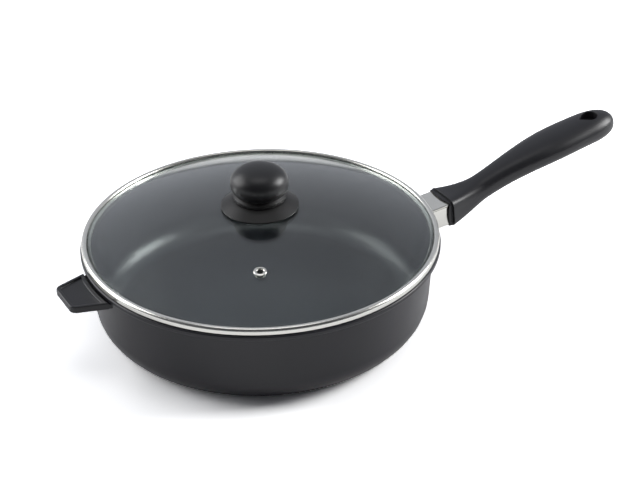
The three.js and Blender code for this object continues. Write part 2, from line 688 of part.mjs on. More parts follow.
// The pan with both of its handles.
function panGroup() {
  const group = new THREE.Group();
  group.add(
    piece("pan_body", panBody(), coatedAluminium()),
    piece("flame_guard", flameGuard(), brightSteel()),
    piece("handle_tang", handleTang(), plainSteel()),
    piece("long_handle", longHandle(), phenolic()),
  );

  const washerTop = handleScrewSeat - seatGap;
  const washerLow = washerTop - handleWasherThickness;
  const washer = ring(handleScrewRadius + boreGap, handleWasherRadius, washerLow, washerTop, screwFacets);
  const shoulder = washerLow - seatGap;
  const reach = tangThickness / 2 - shoulder;
  const fixing = screw(handleScrewRadius, reach, handleScrewHeadRadius, handleScrewHeadHeight);
  const alongTang = new THREE.Matrix4().makeTranslation(handleScrewAlong, 0, 0);
  const screwFrame = wallFrame(tangTilt).multiply(alongTang);
  group.add(
    piece("handle_washer", placed(washer, screwFrame), plainSteel()),
    piece("handle_screw", placed(fixing.translate(0, 0, shoulder), screwFrame), plainSteel()),
  );

  const side = new THREE.Group();
  side.rotation.z = Math.PI;
  const sideWasherTop = sideBossBottom - seatGap;
  const sideWasherLow = sideWasherTop - sideWasherThickness;
  const sideBore = sideScrewRadius + boreGap;
  const sideWasher = ring(sideBore, sideWasherRadius, sideWasherLow, sideWasherTop, screwFacets);
  const sideShoulder = sideWasherLow - seatGap;
  const sideScrewReach = sideTangMiddle + sideTangThickness / 2 - sideShoulder;
  const sideFixing = screw(sideScrewRadius, sideScrewReach, sideScrewHeadRadius, sideScrewHeadHeight);
  side.add(
    piece("helper_handle", sideGrip(), phenolic()),
    piece("helper_tang", sideTang(), plainSteel()),
    piece("helper_washer", sideWasher.translate(sideScrewAt, 0, 0), plainSteel()),
    piece("helper_screw", sideFixing.translate(sideScrewAt, 0, sideShoulder), plainSteel()),
  );
  group.add(side);
  return group;
}

// The lid with its knob.
function lidGroup() {
  const group = new THREE.Group();
  const eyelet = piece("vent_eyelet", ventEyelet(), brightSteel());
  eyelet.applyMatrix4(ventFrame());
  group.add(
    piece("lid_band", lidBand(), brightSteel()),
    piece("lid_glass", lidGlass(), clearGlass()),
    eyelet,
    piece("knob", knobBall(), phenolic()),
    piece("knob_skirt", knobSkirt(), phenolic()),
  );

  const screwBore = knobScrewRadius + boreGap;
  const upperGasketLow = domeTop + seatGap;
  const upperGasketTop = upperGasketLow + gasketThickness;
  const lowerGasketTop = glassUnder(gasketRadius) - seatGap;
  const lowerGasketLow = lowerGasketTop - gasketThickness;
  const washerTop = lowerGasketLow - seatGap;
  const washerLow = washerTop - knobWasherThickness;
  const shoulder = washerLow - seatGap;
  const reach = knobBase + knobScrewReach - shoulder;
  const fixing = screw(knobScrewRadius, reach, knobScrewHeadRadius, knobScrewHeadHeight);
  const insertLow = knobBase + seatGap;
  const insert = ring(screwBore, insertRadius, insertLow, insertLow + insertLength, screwFacets);
  const upperGasket = ring(screwBore, gasketRadius, upperGasketLow, upperGasketTop, screwFacets);
  const lowerGasket = ring(screwBore, gasketRadius, lowerGasketLow, lowerGasketTop, screwFacets);
  const washer = ring(screwBore, knobWasherRadius, washerLow, washerTop, screwFacets);
  group.add(
    piece("knob_gasket_upper", upperGasket, silicone()),
    piece("knob_gasket_lower", lowerGasket, silicone()),
    piece("knob_washer", washer, plainSteel()),
    piece("knob_screw", fixing.translate(0, 0, shoulder), plainSteel()),
    piece("knob_insert", insert, brassFinish()),
  );
  return group;
}

const sautePan = new THREE.Group();
sautePan.add(panGroup(), lidGroup());

export default sautePan;
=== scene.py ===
# %% [markdown]
# # A sauté pan with a glass lid
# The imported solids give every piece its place. This lesson draws each piece again as a fine mesh on the same
# sizes, gives it the finish of the real material, and lets it ride on the body that carries it. All sizes are
# in millimetres while a piece is drawn, and a piece is brought to metres when it is settled in its place.

import math

import bmesh
import bpy
from mathutils import Matrix, Vector
from mathutils.bvhtree import BVHTree


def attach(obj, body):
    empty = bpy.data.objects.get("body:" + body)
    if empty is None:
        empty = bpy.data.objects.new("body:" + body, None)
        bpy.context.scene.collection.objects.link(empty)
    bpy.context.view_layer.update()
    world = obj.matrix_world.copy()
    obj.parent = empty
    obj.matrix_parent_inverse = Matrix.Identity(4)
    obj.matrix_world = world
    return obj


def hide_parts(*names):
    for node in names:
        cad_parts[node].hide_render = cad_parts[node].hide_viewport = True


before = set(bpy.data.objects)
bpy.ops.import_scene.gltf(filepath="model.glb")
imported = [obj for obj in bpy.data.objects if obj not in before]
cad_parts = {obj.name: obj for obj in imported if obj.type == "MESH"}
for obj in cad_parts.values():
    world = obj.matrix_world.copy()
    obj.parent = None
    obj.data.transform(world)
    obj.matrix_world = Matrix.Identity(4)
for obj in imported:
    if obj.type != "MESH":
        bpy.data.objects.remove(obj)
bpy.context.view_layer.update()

# %% [markdown]
# ## The view
# The pan is seen from its side grip's end, about thirty degrees from above. A long lens stands back by more
# than a metre, so the round rim stays a calm ellipse. The camera's axes are worked out from its direction and
# a small roll, which is simpler to read than three rotation angles.

# %% Camera
camera_place = Vector((-0.4713, -0.9249, 0.6820))
camera_ahead = Vector((0.42485, 0.74745, -0.51072)).normalized()
camera_roll = math.radians(-0.541)
picture_width = 640  # pixels
focal_length = 1500  # pixels
sensor_width = 36  # millimetres

upwards = Vector((0, 0, 1))
view_right = camera_ahead.cross(upwards).normalized()
view_away = upwards.cross(view_right)
picture_up = view_right.cross(camera_ahead)
across = view_right * math.cos(camera_roll) + picture_up * math.sin(camera_roll)
upright = picture_up * math.cos(camera_roll) - view_right * math.sin(camera_roll)
camera_axes = Matrix((across, upright, -camera_ahead)).transposed().to_4x4()

camera_data = bpy.data.cameras.new("camera")
camera_data.sensor_fit = "HORIZONTAL"
camera_data.sensor_width = sensor_width
camera_data.lens = focal_length * sensor_width / picture_width
camera = bpy.data.objects.new("camera", camera_data)
camera.matrix_world = Matrix.Translation(camera_place) @ camera_axes
bpy.context.scene.collection.objects.link(camera)
bpy.context.scene.camera = camera
bpy.context.scene.view_settings.view_transform = "Standard"
print("lens:", round(camera_data.lens, 1), "mm")

# %% [markdown]
# ## Tools for drawing
# Most of the pan is turned or drawn round one axis, so a line of radius and height that is spun makes it.
# Real edges are never quite sharp, so a line is given as corners with a rounding each. The grips and the
# sleeve are not round. They are skins over a row of closed loops. Cut-outs are carved with Blender's boolean.

# %% A line with rounded corners
corner_steps = 8


def softened(corners, closed=False):
    """A line through corners of (across, up, rounding), each rounded to its radius."""
    line = []
    for i, (x, y, rounding) in enumerate(corners):
        here = Vector((x, y))
        if rounding == 0 or (not closed and i in (0, len(corners) - 1)):
            line.append((x, y))
            continue
        back = (Vector(corners[i - 1][:2]) - here).normalized()
        ahead = (Vector(corners[(i + 1) % len(corners)][:2]) - here).normalized()
        half = back.angle(ahead) / 2
        middle = here + (back + ahead).normalized() * rounding / math.sin(half)
        first = here + back * rounding / math.tan(half) - middle
        last = here + ahead * rounding / math.tan(half) - middle
        start = math.atan2(first.y, first.x)
        swing = (math.atan2(last.y, last.x) - start + math.pi) % math.tau - math.pi
        for k in range(corner_steps + 1):
            turn = start + swing * k / corner_steps
            line.append((middle.x + rounding * math.cos(turn), middle.y + rounding * math.sin(turn)))
    return line


sample_square = [(0, 0, 1), (9, 0, 1), (9, 9, 1), (0, 9, 1)]
print("a square with round corners has", len(softened(sample_square, True)), "points")

# %% Turned pieces and skins over loops
rim_steps = 256
small_steps = 64
weld_distance = 0.0005
shortest_edge = 0.0002


def spin(bm, line, closed=False, steps=rim_steps, finish=0):
    """Spins a line of (radius, height) once round the upright axis."""
    rows = []
    for k in range(steps):
        turn = math.tau * k / steps
        rows.append([bm.verts.new((r * math.cos(turn), r * math.sin(turn), z)) for r, z in line])
    count = len(line)
    for one, two in zip(rows, rows[1:] + rows[:1]):
        for i in range(count if closed else count - 1):
            j = (i + 1) % count
            bm.faces.new((one[i], two[i], two[j], one[j])).material_index = finish


def skin(bm, loops, close_first=True, close_last=True, ring=False):
    """Joins closed loops of points in a row, and closes the ends or joins the last loop to the first."""
    rows = [[bm.verts.new(point) for point in loop] for loop in loops]
    if ring:
        rows.append(rows[0])
    for one, two in zip(rows, rows[1:]):
        for j in range(len(one)):
            k = (j + 1) % len(one)
            bm.faces.new((one[j], one[k], two[k], two[j]))
    if not ring and close_first:
        bm.faces.new(rows[0])
    if not ring and close_last:
        bm.faces.new(rows[-1])


def drawn(name, bm):
    """The drawing as an object, still in millimetres, with its faces turned outwards."""
    bmesh.ops.remove_doubles(bm, verts=bm.verts, dist=weld_distance)
    bmesh.ops.dissolve_degenerate(bm, edges=bm.edges, dist=shortest_edge)
    bmesh.ops.recalc_face_normals(bm, faces=bm.faces)
    mesh = bpy.data.meshes.new(name)
    bm.to_mesh(mesh)
    bm.free()
    piece = bpy.data.objects.new(name, mesh)
    bpy.context.scene.collection.objects.link(piece)
    return piece


def turned(name, line, closed=False, steps=rim_steps):
    bm = bmesh.new()
    spin(bm, line, closed, steps)
    return drawn(name, bm)


def skinned(name, loops, **ends):
    bm = bmesh.new()
    skin(bm, loops, **ends)
    return drawn(name, bm)


print("turned pieces have", rim_steps, "steps round the rim")

# %% Carving and settling
millimetre = 0.001
sharp_angle = math.radians(32)


def carved(piece, cutters, operation="DIFFERENCE"):
    """Takes the cutters out of a piece, or joins them to it."""
    for cutter in cutters:
        step = piece.modifiers.new("carve", "BOOLEAN")
        step.solver = "EXACT"
        step.operation = operation
        step.object = cutter
    bpy.context.view_layer.update()
    seen = piece.evaluated_get(bpy.context.evaluated_depsgraph_get())
    piece.modifiers.clear()
    piece.data = bpy.data.meshes.new_from_object(seen)
    for cutter in cutters:
        bpy.data.objects.remove(cutter)
    return piece


def settled(piece, body, node, slot, *finishes):
    """Brings a piece to metres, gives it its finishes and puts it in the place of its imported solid."""
    mesh = piece.data
    mesh.transform(Matrix.Scale(millimetre, 4))
    mesh.shade_smooth()
    mesh.set_sharp_from_angle(angle=sharp_angle)
    for finish in finishes:
        mesh.materials.append(finish)
    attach(piece, body)
    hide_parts(node)
    print(piece.name, "has", len(mesh.polygons), "faces and stands for", node)


# %% [markdown]
# ## Tools for finishes
# A finish is a Principled shader whose colour, roughness and bump come from procedural patterns. Colours are
# written as on screen and turned to linear light by one function. A pattern's scale is one over its real
# size, because object coordinates are in metres. Sprayed, moulded and plated surfaces all drift a little in
# tone and gloss, so one function makes them from their own colours and sizes.

# %% Colours and nodes
def linear(screen_colour):
    """A screen colour in hex as the linear red, green, blue and alpha that shaders take."""
    parts = [int(screen_colour[i : i + 2], 16) / 255 for i in (1, 3, 5)]
    return [c / 12.92 if c <= 0.04045 else ((c + 0.055) / 1.055) ** 2.4 for c in parts] + [1.0]


def per_metre(size):
    """How often a pattern of this size in millimetres repeats in a metre."""
    return 1 / (size * millimetre)


def new_finish(name):
    finish = bpy.data.materials.new(name)
    finish.use_nodes = True
    finish.node_tree.nodes.clear()
    return finish


def add_node(finish, kind, settings=None, links=None):
    """Adds a node, sets its sockets and properties, and links the sockets that other nodes feed."""
    node = finish.node_tree.nodes.new("ShaderNode" + kind)
    for name, value in (settings or {}).items():
        if name in node.inputs:
            node.inputs[name].default_value = value
        else:
            setattr(node, name, value)
    for name, source in (links or {}).items():
        finish.node_tree.links.new(source, node.inputs[name])
    return node


print("mid grey #808080 is", round(linear("#808080")[0], 3), "in linear light")

# %% Finishes with soft clouds
def clouded(name, tones, roughness, cloud_size, detail, constants, grain=None):
    """A finish whose tone and gloss drift in clouds, with a grain of a size, a strength and a depth."""
    finish = new_finish(name)
    place = add_node(finish, "TexCoord").outputs["Object"]
    pattern = {"Scale": per_metre(cloud_size), "Detail": detail}
    cloud = add_node(finish, "TexNoise", pattern, {"Vector": place}).outputs["Fac"]
    dark, light = (linear(tone) for tone in tones)
    tone = add_node(finish, "MixRGB", {"Color1": dark, "Color2": light}, {"Fac": cloud})
    smooth, rough = roughness
    sheen = add_node(finish, "MapRange", {"To Min": smooth, "To Max": rough}, {"Value": cloud})
    feeds = {"Base Color": tone.outputs["Color"], "Roughness": sheen.outputs["Result"]}
    if grain:
        grain_size, strength, depth = grain
        pattern = {"Scale": per_metre(grain_size), "Detail": 2.0}
        peel = add_node(finish, "TexNoise", pattern, {"Vector": place}).outputs["Fac"]
        relief = {"Strength": strength, "Distance": depth * millimetre}
        feeds["Normal"] = add_node(finish, "Bump", relief, {"Height": peel}).outputs["Normal"]
    surface = add_node(finish, "BsdfPrincipled", constants, feeds)
    add_node(finish, "OutputMaterial", {}, {"Surface": surface.outputs["BSDF"]})
    return finish


print("a cloud of 20 mm fits", round(per_metre(20)), "times in a metre")

# %% [markdown]
# ## Coated aluminium
# The pan is drawn from one aluminium disc and sprayed with a charcoal coating. Outside it is a satin baked
# enamel: nearly black, with a faint orange-peel skin that softens each reflection. Inside it is a smoother
# non-stick coat with a touch of blue, which catches the light along the round corner.

# %% Outside: sprayed satin enamel
sprayed_enamel = clouded(
    "sprayed_satin_enamel",
    tones=("#19181f", "#1f1e25"),
    roughness=(0.28, 0.38),
    cloud_size=22,
    detail=3.0,
    constants={"IOR": 1.48},
    grain=(1.1, 0.25, 0.06),
)
print("outside:", sprayed_enamel.name)

# %% Inside: baked non-stick coat
nonstick_coat = clouded(
    "baked_nonstick_coat",
    tones=("#1e1f24", "#22242a"),
    roughness=(0.30, 0.38),
    cloud_size=30,
    detail=3.0,
    constants={"IOR": 1.55},
    grain=(0.9, 0.2, 0.04),
)
print("inside:", nonstick_coat.name)

# %% [markdown]
# ## The pan
# The pan is one deep-drawn shell: a flat base with two turned rings underneath, a generous round corner, a
# wall that leans out by a few degrees, and a lip that flares out to carry the lid. The outer and the inner
# line are spun apart, so that each gets its own coat, and they meet on the crest of the lip.

# %% Pan body
pan_height = 70.5
wall_radius = 138.7  # outside, level with the underside of the lip
wall_taper = math.radians(3.75)
wall_thickness = 3
base_thickness = 4
lip_thickness = 4
lip_radius = 144
lip_underside = pan_height - lip_thickness
outer_corner = 24.2
inner_corner = 20
flare_rounding = 4.2
mouth_rounding = 5
lip_rounding = 1.2
ring_radii = (50, 90)
ring_half_mouth = 2
ring_half_floor = 1.4
ring_depth = 0.6
ring_rounding = 0.25


def wall_outside(z):
    return wall_radius - (lip_underside - z) * math.tan(wall_taper)


def wall_inside(z):
    return wall_outside(z) - wall_thickness / math.cos(wall_taper)


crest = wall_inside(pan_height) + mouth_rounding
outer_corners = [(0, 0, 0)]
for ring_radius in ring_radii:
    outer_corners += [
        (ring_radius - ring_half_mouth, 0, ring_rounding),
        (ring_radius - ring_half_floor, ring_depth, ring_rounding),
        (ring_radius + ring_half_floor, ring_depth, ring_rounding),
        (ring_radius + ring_half_mouth, 0, ring_rounding),
    ]
outer_corners += [
    (wall_outside(0), 0, outer_corner),
    (wall_outside(lip_underside), lip_underside, flare_rounding),
    (lip_radius, lip_underside, lip_rounding),
    (lip_radius, pan_height, lip_rounding),
    (crest, pan_height, 0),
]
inner_corners = [
    (crest, pan_height, 0),
    (wall_inside(pan_height), pan_height, mouth_rounding),
    (wall_inside(base_thickness), base_thickness, inner_corner),
    (0, base_thickness, 0),
]
pan_drawing = bmesh.new()
spin(pan_drawing, softened(outer_corners))
spin(pan_drawing, softened(inner_corners), finish=1)
settled(
    drawn("pan_shell", pan_drawing), "pan", "pan_body", "coated_aluminium", sprayed_enamel, nonstick_coat
)

# %% [markdown]
# ## Bright steel
# The lid's band, the vent eyelet and the flame guard are cold-rolled stainless steel with a bright finish. It
# is nearly a mirror, but rolling leaves fine streaks along the strip, which draw each reflection out a
# little.

# %% Bright rolled steel
rolled_steel = new_finish("bright_rolled_steel")
place = add_node(rolled_steel, "TexCoord").outputs["Object"]
# real rolling streaks are a few hundredths of a millimetre; these are drawn coarser so that they show
stretch = add_node(rolled_steel, "Mapping", {"Scale": (1, 1, 9)}, {"Vector": place})
streak = add_node(
    rolled_steel, "TexNoise", {"Scale": per_metre(7), "Detail": 5.0}, {"Vector": stretch.outputs["Vector"]}
)
tone = add_node(
    rolled_steel,
    "MixRGB",
    {"Color1": linear("#dddcd6"), "Color2": linear("#e8e7e2")},
    {"Fac": streak.outputs["Fac"]},
)
sheen = add_node(rolled_steel, "MapRange", {"To Min": 0.18, "To Max": 0.30}, {"Value": streak.outputs["Fac"]})
skin_bump = add_node(
    rolled_steel, "Bump", {"Strength": 0.2, "Distance": 0.00003}, {"Height": streak.outputs["Fac"]}
)
surface = add_node(
    rolled_steel,
    "BsdfPrincipled",
    {"Metallic": 1.0},
    {
        "Base Color": tone.outputs["Color"],
        "Roughness": sheen.outputs["Result"],
        "Normal": skin_bump.outputs["Normal"],
    },
)
add_node(rolled_steel, "OutputMaterial", {}, {"Surface": surface.outputs["BSDF"]})
print("steel:", rolled_steel.name)

# %% [markdown]
# ## The lid's band
# One steel strip is rolled over the edge of the glass, under it, and down into the mouth of the pan. Its bead
# and its hem are what the eye sees as two bright rings, so both are rounded as the rolling leaves them.

# %% Band
seat_gap = 0.3
lid_gap = 1
band_radius = 143
band_height = 5.5
band_width = 4.7
band_sheet = 0.5
flange_depth = 3.5
flange_bend = 0.7
foot_rounding = 1
bead_rounding = 2.7
hem_rounding = 1.9
cut_edge = 0.12
glass_radius = 140.1
glass_edge = 1.6
glass_thickness = 3.5
dome_rise = 26

band_base = pan_height + seat_gap
band_crest = band_base + band_height
hem_radius = band_radius - band_width
flange_low = band_base - flange_depth
flange_radius = wall_inside(flange_low) - lid_gap
glass_seat = band_base + band_sheet + seat_gap
dome_radius = (glass_radius**2 + dome_rise**2) / (2 * dome_rise)
dome_top = glass_seat + glass_edge + dome_rise
dome_centre = dome_top - dome_radius
dome_inside = dome_radius - glass_thickness


def glass_top(r):
    return dome_centre + math.sqrt(dome_radius**2 - r**2)


def glass_under(r):
    return dome_centre + math.sqrt(dome_inside**2 - r**2)


hem_low = glass_top(hem_radius) + seat_gap
band_corners = [
    (flange_radius - band_sheet, flange_low, cut_edge),
    (flange_radius, flange_low, cut_edge),
    (flange_radius, band_base, flange_bend),
    (band_radius, band_base, foot_rounding),
    (band_radius, band_crest, bead_rounding),
    (hem_radius, band_crest, hem_rounding),
    (hem_radius, hem_low, cut_edge),
    (hem_radius + band_sheet, hem_low, cut_edge),
    (hem_radius + band_sheet, band_crest - band_sheet, hem_rounding - band_sheet),
    (band_radius - band_sheet, band_crest - band_sheet, bead_rounding - band_sheet),
    (band_radius - band_sheet, band_base + band_sheet, foot_rounding - band_sheet),
    (flange_radius - band_sheet, band_base + band_sheet, flange_bend + band_sheet),
]
settled(
    turned("rolled_band", softened(band_corners, True), True), "lid", "lid_band", "bright_steel", rolled_steel
)

# %% [markdown]
# ## Tempered glass
# The lid is a pressed disc of clear soda-lime glass, tempered for strength. It bends light as glass of its
# real thickness, mirrors a little of the room, and has faint waves from the press. Lamps shine through it
# onto the pan, so rays that only ask for shadow see it as clear, and the eye sees the real glass.

# %% Clear tempered glass
glass_tint = linear("#f3f8f7")
tempered_glass = new_finish("clear_tempered_glass")
place = add_node(tempered_glass, "TexCoord").outputs["Object"]
wave = add_node(tempered_glass, "TexNoise", {"Scale": per_metre(45), "Detail": 1.0}, {"Vector": place})
skin_bump = add_node(
    tempered_glass, "Bump", {"Strength": 0.15, "Distance": 0.0003}, {"Height": wave.outputs["Fac"]}
)
surface = add_node(
    tempered_glass,
    "BsdfPrincipled",
    {"Base Color": glass_tint, "Roughness": 0.0, "IOR": 1.52, "Transmission Weight": 1.0},
    {"Normal": skin_bump.outputs["Normal"]},
)
clear = add_node(tempered_glass, "BsdfTransparent", {"Color": glass_tint})
asked = add_node(tempered_glass, "LightPath").outputs["Is Shadow Ray"]
either = add_node(
    tempered_glass, "MixShader", {}, {"Fac": asked, 1: surface.outputs["BSDF"], 2: clear.outputs["BSDF"]}
)
add_node(tempered_glass, "OutputMaterial", {}, {"Surface": either.outputs["Shader"]})
print("glass:", tempered_glass.name)

# %% [markdown]
# ## The lid's glass
# The dome has one even thickness. Its underside is ground flat where it sits in the band, its rim is ground
# round, and two holes are drilled before tempering: one on the axis for the knob's screw, and one for steam.

# %% Glass dome
glass_bore = 3.1
ground_edge = 0.4
rim_edge = 0.5
rim_strip = 2  # of the dome next to the rounded rim
dome_steps = 48
vent_distance = 86
vent_azimuth = math.radians(-118)
vent_tube = 3.45
bore_gap = 0.3
drill_reach = 9
seat_start = math.sqrt(dome_inside**2 - (glass_seat - dome_centre) ** 2)
dome_end = glass_radius - rim_strip


def dome_line(height_at, start, end):
    steps = [start + (end - start) * i / dome_steps for i in range(dome_steps + 1)]
    return [(r, height_at(r)) for r in steps]


def rod(radius, low, high):
    """A straight round cutter on the upright axis."""
    return turned("rod", [(0, low), (radius, low), (radius, high), (0, high)], steps=small_steps)


glass_rim = softened(
    [
        (seat_start, glass_seat, 0),
        (glass_radius, glass_seat, ground_edge),
        (glass_radius, glass_top(glass_radius), rim_edge),
        (dome_end, glass_top(dome_end), 0),
    ]
)
glass_line = dome_line(glass_under, glass_bore, seat_start) + glass_rim[1:]
glass_line += dome_line(glass_top, dome_end, glass_bore)[1:]
vent_lean = math.asin(vent_distance / dome_radius)
vent_frame = (
    Matrix.Rotation(vent_azimuth, 4, "Z")
    @ Matrix.Translation((vent_distance, 0, glass_top(vent_distance)))
    @ Matrix.Rotation(vent_lean, 4, "Y")
)
drill = rod(vent_tube + bore_gap, -drill_reach, drill_reach)
drill.data.transform(vent_frame)
settled(
    carved(turned("glass_dome", glass_line, True), [drill]), "lid", "lid_glass", "lid_glass", tempered_glass
)

# %% [markdown]
# ## The steam vent
# An eyelet lines the steam hole: a short steel tube that a press spreads to a flange on both faces of the
# glass. Its upper flange is a low dome, so it shows a bright ring round a dark hole.

# %% Vent eyelet
vent_bore = 2.25
vent_flange = 5.1
flange_thickness = 0.8
crown_taper = 0.15
crown_side = 0.85  # heights of the upper flange over the glass
crown_top = 1.2
crown_mouth = 0.75
bore_flare = 0.3
flare_depth = 0.6
press_edge = 0.3
crown_edge = 0.6
crown_top_edge = 0.8
under = -glass_thickness - seat_gap
lower_flange = vent_flange - flange_thickness
eyelet_corners = [
    (vent_bore, under - flange_thickness, press_edge),
    (lower_flange, under - flange_thickness, press_edge),
    (lower_flange, under, press_edge / 2),
    (vent_tube, under, 0),
    (vent_tube, seat_gap, 0),
    (vent_flange, seat_gap, press_edge / 3),
    (vent_flange - crown_taper, seat_gap + crown_side, crown_edge),
    (vent_tube, seat_gap + crown_top, crown_top_edge),
    (vent_bore + bore_flare, seat_gap + crown_mouth, crown_edge),
    (vent_bore, seat_gap - flare_depth, press_edge),
]
eyelet = turned("pressed_eyelet", softened(eyelet_corners, True), True, small_steps)
eyelet.data.transform(vent_frame)
settled(eyelet, "lid", "vent_eyelet", "bright_steel", rolled_steel)

# %% [markdown]
# ## Phenolic mouldings
# Knob, skirt and grips are moulded from filled phenolic resin, which stands the heat of a hob. The tool's
# fine spark-eroded skin makes it satin: a dark body with broad soft highlights. The skirt comes from a
# rougher tool, so it looks matt beside the knob, and the grips have a faint blue in their black. The skirt's
# finish is also darker, and the knob's collar wears it as painted shade under the ball.

# %% Phenolic for the knob, the skirt and the grips
mould_cloud = 14
# the real skin's grain is about 0.1 mm; this one is drawn coarser so that it shows
mould_grain = (0.6, 0.25, 0.05)
phenolics = []
for name, tones, roughness, bending in (
    ("satin_phenolic_knob", ("#18181a", "#1d1d1f"), (0.34, 0.41), 1.5),
    # the skirt's darker tone is also painted shade on the knob's collar
    ("matt_phenolic_skirt_and_collar_shade", ("#100f0f", "#151414"), (0.42, 0.52), 1.45),
    ("satin_phenolic_grip", ("#111116", "#16161b"), (0.36, 0.44), 1.52),
):
    phenolics.append(clouded(name, tones, roughness, mould_cloud, 3.0, {"IOR": bending}, mould_grain))
knob_phenolic, skirt_and_collar_shade_phenolic, grip_phenolic = phenolics
print("mouldings:", [finish.name for finish in phenolics])

# %% [markdown]
# ## The knob
# The knob is a flattened ball on a short collar, with a thin groove between the two. A superellipse gives the
# ball its full shoulders, and a blind bore underneath takes the brass insert.

# %% Knob
gasket_thickness = 1.2
skirt_base = dome_top + gasket_thickness + 2 * seat_gap
skirt_height = 4.7
knob_base = skirt_base + skirt_height + seat_gap
knob_radius = 23.2
knob_height = 27.6
knob_waist = 13.1
knob_roundness = 2.2
collar_radius = 21
collar_height = 2.8
neck_radius = 18.9
neck_height = 4.4
insert_bore = 4.8
insert_depth = 12.6
bore_edge = 0.3
collar_low_edge = 0.6
collar_top_edge = 0.5
knob_rings = 72

insert_top = knob_base + insert_depth
neck_share = 1 - (neck_radius / knob_radius) ** knob_roundness
upper_half = knob_height - knob_waist
lower_half = (knob_waist - neck_height) / neck_share ** (1 / knob_roundness)
neck_angle = -math.asin(math.sqrt(neck_share))
knob_foot = softened(
    [
        (0, insert_top, 0),
        (insert_bore, insert_top, bore_edge),
        (insert_bore, knob_base, bore_edge),
        (collar_radius, knob_base, collar_low_edge),
        (collar_radius, knob_base + collar_height, collar_top_edge),
        (neck_radius, knob_base + neck_height, 0),
    ]
)
knob_ball = knob_foot[-1:]
for i in range(1, knob_rings + 1):
    angle = neck_angle + (math.pi / 2 - neck_angle) * i / knob_rings
    out = abs(math.cos(angle)) ** (2 / knob_roundness)
    rise = math.copysign(abs(math.sin(angle)) ** (2 / knob_roundness), angle)
    half_height = lower_half if angle < 0 else upper_half
    reach = knob_radius * out if i < knob_rings else 0
    knob_ball.append((reach, knob_base + knob_waist + half_height * rise))
knob_drawing = bmesh.new()
spin(knob_drawing, knob_ball)
# the collar gets the skirt's darker finish, painted shade under the ball, though it is one moulding with it
spin(knob_drawing, knob_foot, finish=1)
settled(drawn("moulded_knob", knob_drawing), "lid", "knob", "moulded_knob", knob_phenolic, skirt_and_collar_shade_phenolic)

# %% [markdown]
# ## The knob's skirt
# Under the knob a shallow cone spreads over the glass and keeps hot fingers off it. It is a thin shell on a
# central boss. Its rim ends just above the glass in a small upright edge.

# %% Skirt
skirt_radius = 31
skirt_shell = 1.8
skirt_rim = 1.2
skirt_rim_gap = 0.8
skirt_top_radius = 20.6
skirt_edge = 0.2
rim_foot_edge = 0.3
rim_top_edge = 0.25
boss_hollow = 0.5
shell_hollow = 0.8
sweep_run = 2  # the pull point of the sweep, out from and below the top's edge
sweep_drop = 0.4
sweep_steps = 12
screw_bore = 2.8
gasket_radius = 9.5
skirt_top = skirt_base + skirt_height
rim_low = glass_top(skirt_radius) + skirt_rim_gap
skirt_corners = [
    (screw_bore, skirt_base, skirt_edge),
    (gasket_radius, skirt_base, skirt_edge),
    (gasket_radius + skirt_shell, skirt_top - skirt_shell, boss_hollow),
    (skirt_top_radius - skirt_shell, skirt_top - skirt_shell, shell_hollow),
    (skirt_radius - skirt_shell, rim_low, skirt_edge),
    (skirt_radius, rim_low, rim_foot_edge),
    (skirt_radius, rim_low + skirt_rim, rim_top_edge),
]
sweep_from = Vector((skirt_radius, rim_low + skirt_rim))
sweep_over = Vector((skirt_top_radius + sweep_run, skirt_top - sweep_drop))
sweep_to = Vector((skirt_top_radius, skirt_top))
for i in range(1, sweep_steps + 1):
    t = i / sweep_steps
    point = sweep_from * (1 - t) ** 2 + sweep_over * 2 * t * (1 - t) + sweep_to * t**2
    skirt_corners.append((point.x, point.y, 0))
skirt_corners.append((screw_bore, skirt_top, skirt_edge))
skirt = turned("moulded_skirt", softened(skirt_corners, True), True)
settled(skirt, "lid", "knob_skirt", "moulded_knob", skirt_and_collar_shade_phenolic)

# %% [markdown]
# ## Plated steel and rubber
# Screws, washers and tangs are cheap steel with a thin zinc plating: a cool grey metal with a cloudy,
# slightly dull sheen. Two rings of dark silicone, with hardly any shine, keep the steel and the moulding
# off the glass. The insert in the knob is turned brass, a warm yellow metal with fine tool marks. It is
# hidden, as both tangs are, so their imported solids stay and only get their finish.

# %% Zinc-plated steel, moulded silicone and turned brass
zinc_plate = clouded(
    "zinc_plated_steel",
    tones=("#9c9ea0", "#b4b6b7"),
    roughness=(0.3, 0.5),
    cloud_size=2.5,
    detail=4.0,
    constants={"Metallic": 1.0},
)
silicone = clouded(
    "moulded_silicone",
    tones=("#242424", "#2e2e2e"),
    roughness=(0.6, 0.75),
    cloud_size=1.5,
    detail=3.0,
    constants={"IOR": 1.41},
)
brass = clouded(
    "turned_brass",
    tones=("#b1924f", "#c4a561"),
    roughness=(0.25, 0.4),
    cloud_size=0.8,
    detail=2.0,
    constants={"Metallic": 1.0},
)
print("fasteners:", zinc_plate.name, "rings:", silicone.name, "insert:", brass.name)

# %% [markdown]
# ## Screws, washers and rings
# Three pan-head screws hold the knob and both grips. Each is turned, and a cross recess for the driver is
# carved into its crown. A washer spreads the load under each head.

# %% Fasteners and seals of the knob
screw_crown = 0.6  # rounding of the head, as a share of its height
screw_point = 0.3  # rounding of the shank's end, as a share of its radius
shoulder_edge = 0.15
recess_width = 0.28  # shares of the head's radius
recess_length = 1.2
recess_depth = 0.6  # share of the head's height
cross_cut = 0.97  # the second cut is a little shallower, which keeps the two floors apart
ring_edge = 0.4
knob_washer_radius = 8
knob_washer_thickness = 1
knob_screw_radius = 2.5
knob_screw_grip = 10  # how far it reaches into the knob
knob_head_radius = 4.8
knob_head_height = 3


def bar(length, width, height, x=0, y=0, z=0):
    """A straight bar round a middle point, as a cutter."""
    bm = bmesh.new()
    bmesh.ops.create_cube(bm, size=1)
    bmesh.ops.scale(bm, vec=(length, width, height), verts=bm.verts)
    bmesh.ops.translate(bm, vec=(x, y, z), verts=bm.verts)
    return drawn("bar", bm)


